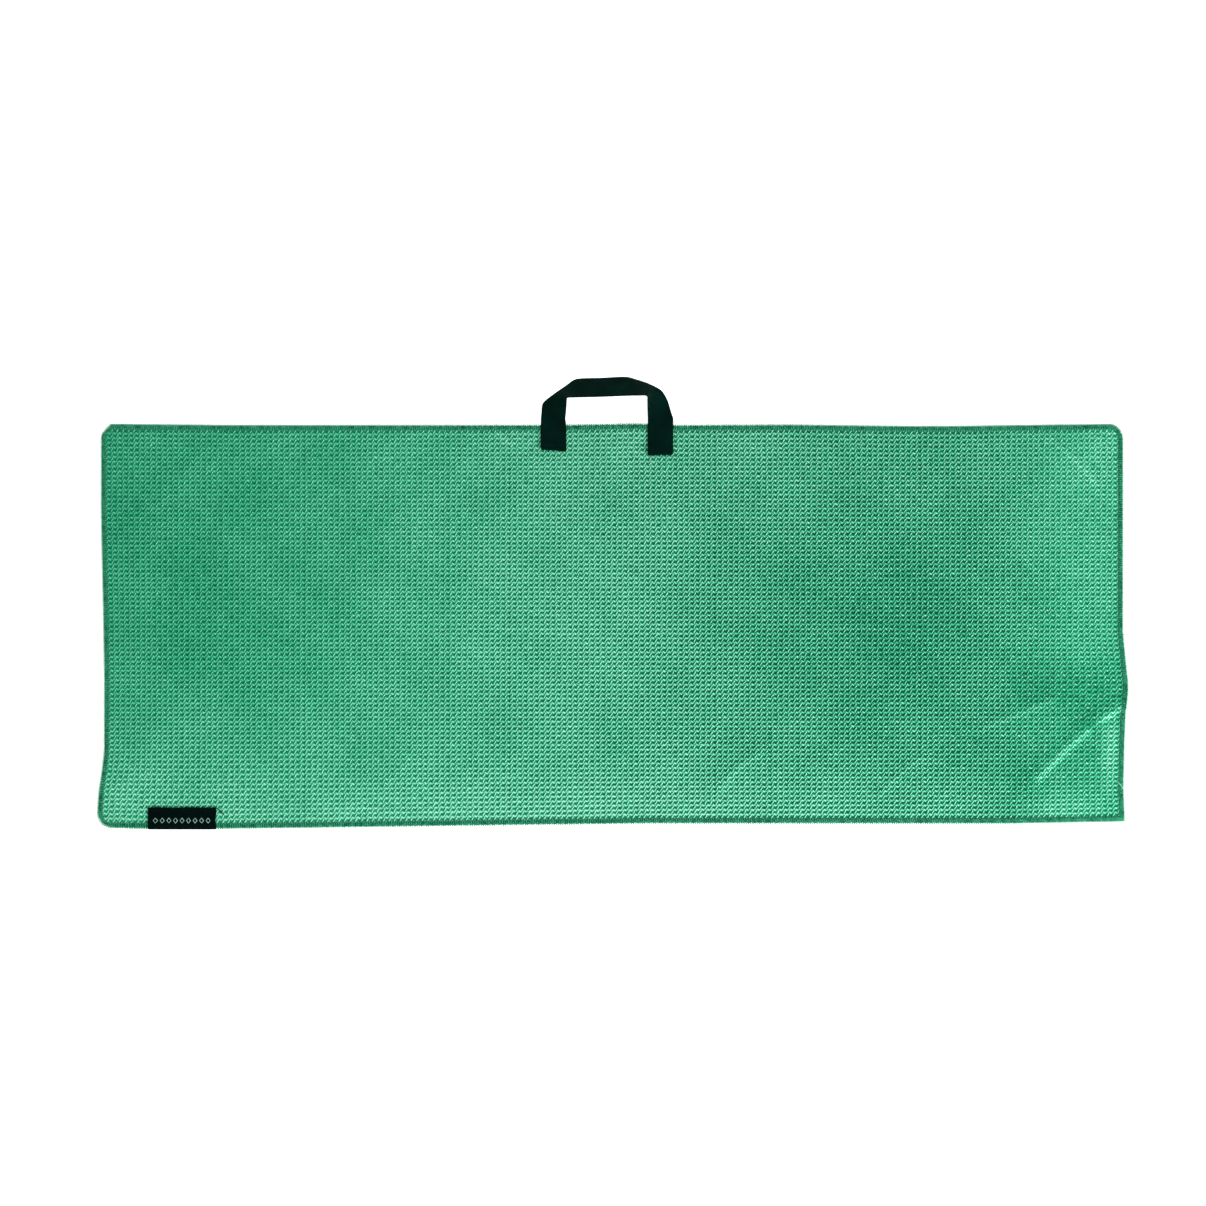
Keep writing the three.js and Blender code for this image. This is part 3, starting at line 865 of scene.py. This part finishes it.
def webbing():
    """The whole loop in one strip, from one hidden cut end to the other, and its length."""
    left, right = tail_stations("left"), tail_stations("right")
    stations = left + loop_stations() + right[::-1]
    outer = catmull([pair[0] for pair in stations], 10)
    inner = catmull([pair[1] for pair in stations], 10)
    outer, inner = (even(line, 300) for line in (outer, inner))
    for line in (outer, inner):
        line[:, 1] += EDGE_Y
        on_cloth = 1 - smoothstep(EDGE_Y - 2 * MM, EDGE_Y + 6 * MM, line[:, 1])
        line[:, 2] += on_cloth * lie(line[:, 0], line[:, 1] - MIDDLE_Y)[0]

    columns = 25
    part = np.linspace(0, 1, columns)[None, :, None]
    middle = outer[:, None] * (1 - part) + inner[:, None] * part
    points, triangles = strip(middle, WEBBING_THICK, plain_weave(len(outer), columns, 0.075 * MM))
    length = line_length((outer + inner) / 2)
    flat = strip_flat(columns, WEBBING_WIDTH, length)
    obj = make_mesh("webbing_loop", points, triangles, WEBBING, flat=flat)
    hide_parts("handle_loop", "handle_end_left", "handle_end_right")
    return obj, float(length[-1])


def even(line, count):
    """The same line as count points at even distances along it."""
    length = line_length(line)
    place = np.linspace(0, 1, count) * length[-1]
    return np.stack([np.interp(place, length, line[:, k]) for k in range(3)], -1)


def stitch_row(name, start, end, count, height, material, node, radius=0.26 * MM):
    """Separate stitches in a row between two flat points, each a short thread that dives at both ends.
    height is the top of what they are sewn through."""
    start, end = np.array(start), np.array(end)
    t = np.linspace(0, 1, 7)
    arch = radius * (1.7 * (1 - (2 * t - 1) ** 4) - 1.3)
    parts, flats = [], []
    for k in range(count):
        part = (k + 0.1 + 0.8 * t) / count
        line = start + (end - start) * part[:, None]
        path = lay(line[:, 0], line[:, 1], height + arch)
        parts.append(tube(path, radius, 6))
        flats.append(on_tube(path, 6))
    points, triangles = together(parts)
    obj = make_mesh(name, points, triangles, material, flat=np.concatenate(flats))
    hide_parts(node)
    return obj


def handle_stitches(side):
    """Two rows across a sewn end: one closes the hem and one holds the webbing at the towel's edge."""
    middle = STRAP_X[side]
    tip = STRAP_TIP[side] - MIDDLE_Y
    top = STRAP_Z + WEBBING_THICK
    rows = {
        f"handle_hem_stitch_{side}": (tip + 5 * MM, top + WEBBING_THICK + 0.05 * MM),
        f"handle_edge_stitch_{side}": (HALF_Y - 7.6 * MM, top),
    }
    reach, count = 10.8 * MM, 8
    return [
        stitch_row(f"{node}_thread", (middle - reach, y), (middle + reach, y), count, height,
                   BLACK_THREAD, node)
        for node, (y, height) in rows.items()
    ]


# ------------ the label
LABEL_FACE = CLOTH_TOP + 0.50 * MM
LABEL_BACK = -0.24 * MM


def label_fray():
    """Path and radius of each fine fibre that stands out from the label's cut edge."""
    fibres = []
    for _ in range(110):
        foot = rng.uniform(-0.5, 0.5) * LABEL_WIDTH + LABEL_X
        reach = rng.uniform(0.5, 1.3) * MM
        lean = rng.normal(0, 0.5) * MM
        t = np.linspace(0, 1, 4)
        place = LABEL_REACH - 0.5 * MM + (reach + 0.5 * MM) * t - HALF_Y
        path = lay(foot + lean * t**2, place, LABEL_FACE + (0.05 - 0.2 * t**2) * MM)
        fibres.append((path, 0.07 * MM))
    return fibres


def label_loose_thread():
    """Paths and radii of a knot at the label's top left and of a hairy loose end off its right side."""
    turn = np.linspace(0, 2.6 * np.pi, 22)
    knot_x = label_low.x + (7.8 + 0.75 * np.cos(turn)) * MM
    knot_y = LABEL_REACH - HALF_Y + (0.6 + 0.5 * np.sin(turn)) * MM
    t = np.linspace(0, 1, 16)
    tail_x = label_high.x + (0.4 + 7.4 * t**0.9) * MM
    tail_y = LABEL_REACH - HALF_Y + (-0.8 - 6.4 * t**1.6) * MM
    tail_z = CLOTH_TOP + (0.25 + 0.2 * np.sin(5 * t)) * MM
    threads = [
        (lay(knot_x, knot_y, LABEL_FACE + (0.1 + 0.05 * turn) * MM), 0.3 * MM),
        (lay(tail_x, tail_y, tail_z), 0.4 * MM),
    ]
    for k in (5, 7, 9, 11):
        cross = np.linspace(-1, 1, 4)
        angle = rng.uniform(0.2, 0.9)
        hair_x = tail_x[k] + 0.8 * MM * cross * math.cos(angle)
        hair_y = tail_y[k] + 0.8 * MM * cross * math.sin(angle)
        threads.append((lay(hair_x, hair_y, tail_z[k] + 0.1 * MM), 0.2 * MM))
    return threads


def label():
    """Woven tape folded round the towel's bottom edge, its top edge a little frayed."""
    route = [  # distance from the towel's edge, height
        (LABEL_REACH, LABEL_FACE - 0.1 * MM), (LABEL_REACH - 2 * MM, LABEL_FACE), (9 * MM, LABEL_FACE),
        (6 * MM, LABEL_FACE + 0.24 * MM), (2.4 * MM, LABEL_FACE + 0.2 * MM),
        (0.5 * MM, LABEL_FACE - 0.3 * MM), (-0.35 * MM, 2.1 * MM), (-0.4 * MM, 1.1 * MM),
        (0.5 * MM, LABEL_BACK + 0.1 * MM), (2 * MM, LABEL_BACK), (LABEL_REACH - 1 * MM, LABEL_BACK),
    ]
    line = even(catmull([(0, inset, z) for inset, z in route], 8), 78)
    columns = 132
    along = line_length(line)
    across = (np.linspace(0, 1, columns) - 0.5) * LABEL_WIDTH
    inset = np.repeat(line[:, 1:2], columns, axis=1)
    fray = 0.08 * rng.standard_normal(columns) + 0.35 * np.sin(across / (5.1 * MM)) * bump(across, 0, 0.03)
    inset += fray * MM * (1 - smoothstep(0, 1.2 * MM, along))[:, None]
    x = LABEL_X + np.repeat(across[None, :], len(line), axis=0)
    x += 0.45 * MM * (across[None, :] / LABEL_WIDTH + 0.5) * np.sin(along[:, None] / (2.6 * MM))
    z = np.repeat(line[:, 2:3], columns, axis=1)
    on_face = (along < LABEL_REACH)[:, None]  # the waffle under it shows a little
    z = z + on_face * 0.07 * MM * np.sin(x / (0.9 * CELL_X) * 2) * np.sin(inset / (0.8 * CELL_Y) * 2)
    middle = lay(x, inset - HALF_Y, z)
    parts = [strip(middle, LABEL_THICK, plain_weave(len(line), columns, 0.02 * MM))]
    flat = [strip_flat(columns, LABEL_WIDTH, along)]

    for path, radius in label_fray() + label_loose_thread():
        parts.append(tube(path, radius, 4))
        flat.append(np.repeat(path[:1], len(path) * 4 + 2, axis=0))
    points, triangles = together(parts)
    obj = make_mesh("label_tape", points, triangles, LABEL_CLOTH, flat=np.concatenate(flat))
    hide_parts("woven_label")
    return obj, float(along[-1])


def label_motif():
    """A row of plain diamonds in pale thread."""
    count, pitch = 9, 6.5 * MM
    wide, tall = 2.0 * MM, 2.5 * MM
    y = 8.3 * MM - HALF_Y
    parts, flats = [], []
    t = np.linspace(0, 1, 6)
    corners = [(-wide, 0), (0, tall), (wide, 0), (0, -tall), (-wide, 0)]
    for k in range(count):
        x = LABEL_X - 0.3 * MM + (k - (count - 1) / 2) * pitch
        for (x0, y0), (x1, y1) in zip(corners, corners[1:]):
            path = lay(x + x0 + (x1 - x0) * t, y + y0 + (y1 - y0) * t, LABEL_FACE + 0.32 * MM)
            parts.append(tube(path, 0.27 * MM, 6, flatten=0.6))
            flats.append(on_tube(path, 6))
    points, triangles = together(parts)
    obj = make_mesh("label_diamonds", points, triangles, PALE_THREAD, flat=np.concatenate(flats))
    return obj


# ------------ build
def build_cloth():
    """The cloth's five pieces and the length of each along the towel."""
    seam, fold, outer = SEAM_COLUMNS + 0.5, OUTER_COLUMNS + 0.5, CELL_COLUMNS // 2
    spans = {
        "left_end": (-outer, -fold),
        "left_fold": (-fold, -seam),
        "middle": (-seam, seam),
        "right_fold": (seam, fold),
        "right_end": (fold, outer),
    }
    made = {part: cloth_piece(f"towel_cloth_{part}", *span) for part, span in spans.items()}
    return made, {part: (last - first) * CELL_X for part, (first, last) in spans.items()}


def bend_with(obj):
    """Bakes the placement of a piece between the middle of the towel and a wing into its mesh; it
    does not bend it round the fold line.
    """
    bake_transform(obj)


cloth, cloth_span = build_cloth()
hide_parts("towel_panel_centre")
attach(cloth["middle"], "centre")
for side in ("left", "right"):
    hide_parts(f"towel_panel_{side}")
    bend_with(cloth[f"{side}_fold"])
    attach(cloth[f"{side}_end"], f"{side}_wing")

for run in RUNS:
    for thread in overlock(run):
        if run in ("left", "right"):
            bend_with(thread)
        else:
            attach(thread, "centre")

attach(loose_end(), "right_wing")

loop, loop_length = webbing()
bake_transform(loop)

tape, tape_length = label()
diamonds = label_motif()
label_row = LABEL_REACH - 1.6 * MM - HALF_Y
label_stitches = stitch_row(
    "label_stitch_thread", (label_low.x + 3 * MM, label_row), (label_high.x - 3 * MM, label_row), 22,
    LABEL_FACE + LABEL_THICK / 2, BLACK_THREAD, "label_stitch", 0.2 * MM,
)
for piece in (tape, diamonds, label_stitches):
    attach(piece, "left_wing")
for side in ("left", "right"):
    for stitches in handle_stitches(side):
        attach(stitches, "centre")

# ------------ floor, lights and camera
FLOOR_RADIUS = 14.0
WALL_HEIGHT = 4.0  # a low round wall at the floor's edge, so that side views show no horizon
WALL_SIDES = 64
turns = [2 * math.pi * k / WALL_SIDES for k in range(WALL_SIDES)]
ring = [(FLOOR_RADIUS * math.cos(turn), FLOOR_RADIUS * math.sin(turn)) for turn in turns]
corners = [(x, y, z) for z in (0, WALL_HEIGHT) for x, y in ring]
following = [(k + 1) % WALL_SIDES for k in range(WALL_SIDES)]
wall = [(k, after, WALL_SIDES + after, WALL_SIDES + k) for k, after in enumerate(following)]
floor_mesh = bpy.data.meshes.new("floor")
floor_mesh.from_pydata(corners, [], [tuple(range(WALL_SIDES)), *wall])
floor_mesh.materials.append(floor_material())
floor = bpy.data.objects.new("floor", floor_mesh)
floor.location.z = -0.3 * MM
bpy.context.scene.collection.objects.link(floor)


def area_light(name, place, size, energy):
    """A square soft light, aimed at the middle of the towel."""
    light = bpy.data.lights.new(name, "AREA")
    light.shape = "SQUARE"
    light.size = size
    light.energy = energy
    obj = bpy.data.objects.new(name, light)
    obj.location = place
    obj.rotation_euler = (-Vector(place)).to_track_quat("-Z", "Y").to_euler()
    obj.visible_camera = False
    bpy.context.scene.collection.objects.link(obj)


area_light("key_softbox", (1.9, -1.7, 1.35), 0.9, 85)
area_light("fill_softbox", (-1.8, 1.5, 2.2), 2.0, 16)

world = bpy.data.worlds.new("studio")
world.use_nodes = True
world.node_tree.nodes["Background"].inputs["Color"].default_value = (1, 1, 1, 1)
world.node_tree.nodes["Background"].inputs["Strength"].default_value = 0.50
bpy.context.scene.world = world
bpy.context.scene.view_settings.view_transform = "Standard"

CAMERA_HEIGHT = 3.0
VIEW_WIDTH = 1.2  # metres of table across the picture
camera_data = bpy.data.cameras.new("camera")
camera_data.lens = camera_data.sensor_width * CAMERA_HEIGHT / VIEW_WIDTH
camera_data.clip_end = 100
camera = bpy.data.objects.new("camera", camera_data)
camera.location = (-8.5 * MM, -2.1 * MM, CAMERA_HEIGHT + CLOTH_TOP)
bpy.context.scene.collection.objects.link(camera)
bpy.context.scene.camera = camera
